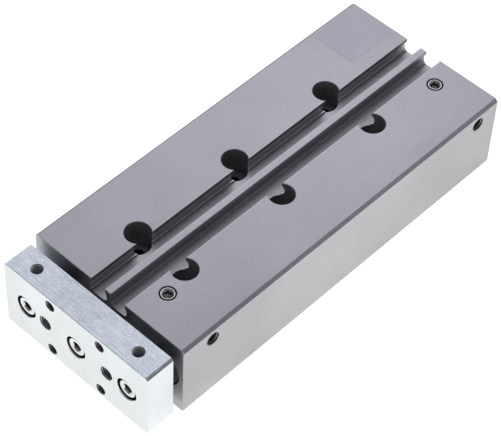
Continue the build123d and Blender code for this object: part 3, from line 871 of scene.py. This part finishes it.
def build_label():
    x0, x1, y0, y1 = -74.2, -54.8, -28.2, -11.8
    corner, steps, thick, bevel = 1.6, 8, 0.04, 0.03
    left, right, front, back = x0 + corner, x1 - corner, y0 + corner, y1 - corner
    outline = []
    for quarter, (x, y) in enumerate(((right, back), (left, back), (left, front), (right, front))):
        for i in range(steps + 1):
            angle = (quarter + i / steps) * TURN / 4
            outline.append((x + corner * math.cos(angle), y + corner * math.sin(angle)))
    middle_x, middle_y = (x0 + x1) / 2, (y0 + y1) / 2
    inner = [
        (x + math.copysign(bevel, middle_x - x), y + math.copysign(bevel, middle_y - y))
        for x, y in outline]
    count = len(outline)
    vertices = [(x, y, HEIGHT) for x, y in outline] + [(x, y, HEIGHT + thick * 0.6) for x, y in outline]
    vertices += [(x, y, HEIGHT + thick) for x, y in inner]
    faces = [tuple(range(count - 1, -1, -1)), tuple(range(2 * count, 3 * count))]
    for ring in (0, count):
        for k in range(count):
            n = (k + 1) % count
            faces.append((ring + k, ring + n, ring + count + n, ring + count + k))
    label = fix_normals(new_object("blank_label_film", vertices, faces))
    shade(label)
    finish(label, "cylinder_body", film())


build_label()


# Floor

def outside_footprint(shader):
    """1 on the open floor, 0 under the housing, where the floor's glow is left out as a painted shadow.
    """
    either = shader.node("ShaderNodeMath", operation="MAXIMUM")
    shader.link(shader.beyond("X", (REAR_X + FRONT_X) / 2, (FRONT_X - REAR_X) / 2), either.inputs[0])
    shader.link(shader.beyond("Y", 0, HALF_WIDTH), either.inputs[1])
    return either.outputs[0]


def floor_material():
    shader = Shader("pale_floor", Metallic=0.0, Roughness=0.9)
    grain = shader.noise(0.4, detail=3.0)
    shader.set("Base Color", shader.ramp(grain, (0.3, grey(0.80)), (0.7, grey(0.82))))
    path = shader.node("ShaderNodeLightPath").outputs
    seen = shader.times(path["Is Camera Ray"], 0.92)
    mirrored = shader.times(shader.times(path["Is Glossy Ray"], 0.80), outside_footprint(shader))
    glow = shader.node("ShaderNodeEmission")
    shader.link(shader.add(seen, mirrored), glow.inputs["Strength"])
    total = shader.node("ShaderNodeAddShader")
    shader.link(shader.bsdf.outputs[0], total.inputs[0])
    shader.link(glow.outputs[0], total.inputs[1])
    shader.link(total.outputs[0], shader.tree.nodes["Material Output"].inputs["Surface"])
    return shader.material


def build_floor():
    size, z = 4000.0, -0.05
    corners = [(-size, -size, z), (size, -size, z), (size, size, z), (-size, size, z)]
    floor = new_object("floor", corners, [(0, 1, 2, 3)])
    floor.data.materials.append(floor_material())


build_floor()


# World and lamp

def build_world():
    """Grey-blue sky light, brightest high over the rear and dark before the yoke plate."""
    brightest = Vector((-0.72, -0.28, 0.64)).normalized()
    stops = (
        (0.0, (0.30, 0.30, 0.31)), (0.25, (0.25, 0.25, 0.265)), (0.4, (0.13, 0.13, 0.14)),
        (0.48, (0.10, 0.10, 0.11)), (0.72, (0.235, 0.235, 0.26)), (0.88, (0.44, 0.44, 0.505)),
        (1.0, (0.53, 0.53, 0.61)),
    )
    world = bpy.data.worlds.new("studio")
    bpy.context.scene.world = world
    world.use_nodes = True
    tree = world.node_tree
    nodes, links = tree.nodes, tree.links
    back = nodes["Background"]
    place = nodes.new("ShaderNodeTexCoord").outputs["Generated"]
    toward = nodes.new("ShaderNodeVectorMath")
    toward.operation = "DOT_PRODUCT"
    toward.inputs[1].default_value = brightest
    links.new(place, toward.inputs[0])
    ramp = nodes.new("ShaderNodeValToRGB")
    span = nodes.new("ShaderNodeMapRange")
    span.inputs["From Min"].default_value = -1.0
    span.inputs["From Max"].default_value = 1.0
    links.new(toward.outputs["Value"], span.inputs["Value"])
    links.new(span.outputs["Result"], ramp.inputs["Fac"])
    fill_ramp(ramp, stops)
    links.new(ramp.outputs["Color"], back.inputs["Color"])
    back.inputs["Strength"].default_value = 1.0
    seen = nodes.new("ShaderNodeBackground")
    path = nodes.new("ShaderNodeLightPath")
    mix = nodes.new("ShaderNodeMixShader")
    links.new(path.outputs["Is Camera Ray"], mix.inputs["Fac"])
    links.new(back.outputs[0], mix.inputs[1])
    links.new(seen.outputs[0], mix.inputs[2])
    seen.inputs["Color"].default_value = (1, 1, 1, 1)
    links.new(mix.outputs[0], nodes["World Output"].inputs["Surface"])


def area_lamp(name, place, size, power, colour):
    """Round lamp that points at the origin."""
    lamp = bpy.data.lights.new(name, "AREA")
    lamp.shape = "DISK"
    lamp.size = size
    lamp.energy = power
    lamp.color = colour
    thing = bpy.data.objects.new(name, lamp)
    bpy.context.scene.collection.objects.link(thing)
    thing.location = place
    thing.rotation_euler = (-Vector(place)).to_track_quat("-Z", "Y").to_euler()


build_world()
area_lamp("softbox", (-0.66, -0.6, 0.86), size=1.1, power=1.0, colour=(0.94, 0.97, 1.0))


# Camera at the photo's angle

def build_camera():
    azimuth, elevation, roll = (math.radians(angle) for angle in CAMERA_ANGLES)
    flat = math.cos(elevation)
    back = Vector((math.sin(azimuth) * flat, -math.cos(azimuth) * flat, math.sin(elevation)))
    level = Vector((math.cos(azimuth), math.sin(azimuth), 0))
    rise = back.cross(level)
    right = level * math.cos(roll) + rise * math.sin(roll)
    up = rise * math.cos(roll) - level * math.sin(roll)
    lens = bpy.data.cameras.new("camera")
    lens.sensor_width = SENSOR
    lens.lens = SENSOR * FOCAL_PIXELS / IMAGE_WIDTH
    lens.clip_start, lens.clip_end = 0.01, 50.0
    camera = bpy.data.objects.new("camera", lens)
    bpy.context.scene.collection.objects.link(camera)
    turned = Matrix((right, up, back)).transposed().to_4x4()
    camera.matrix_world = Matrix.Translation(CAMERA_PLACE) @ turned
    bpy.context.scene.camera = camera


build_camera()
bpy.context.scene.view_settings.view_transform = "Standard"
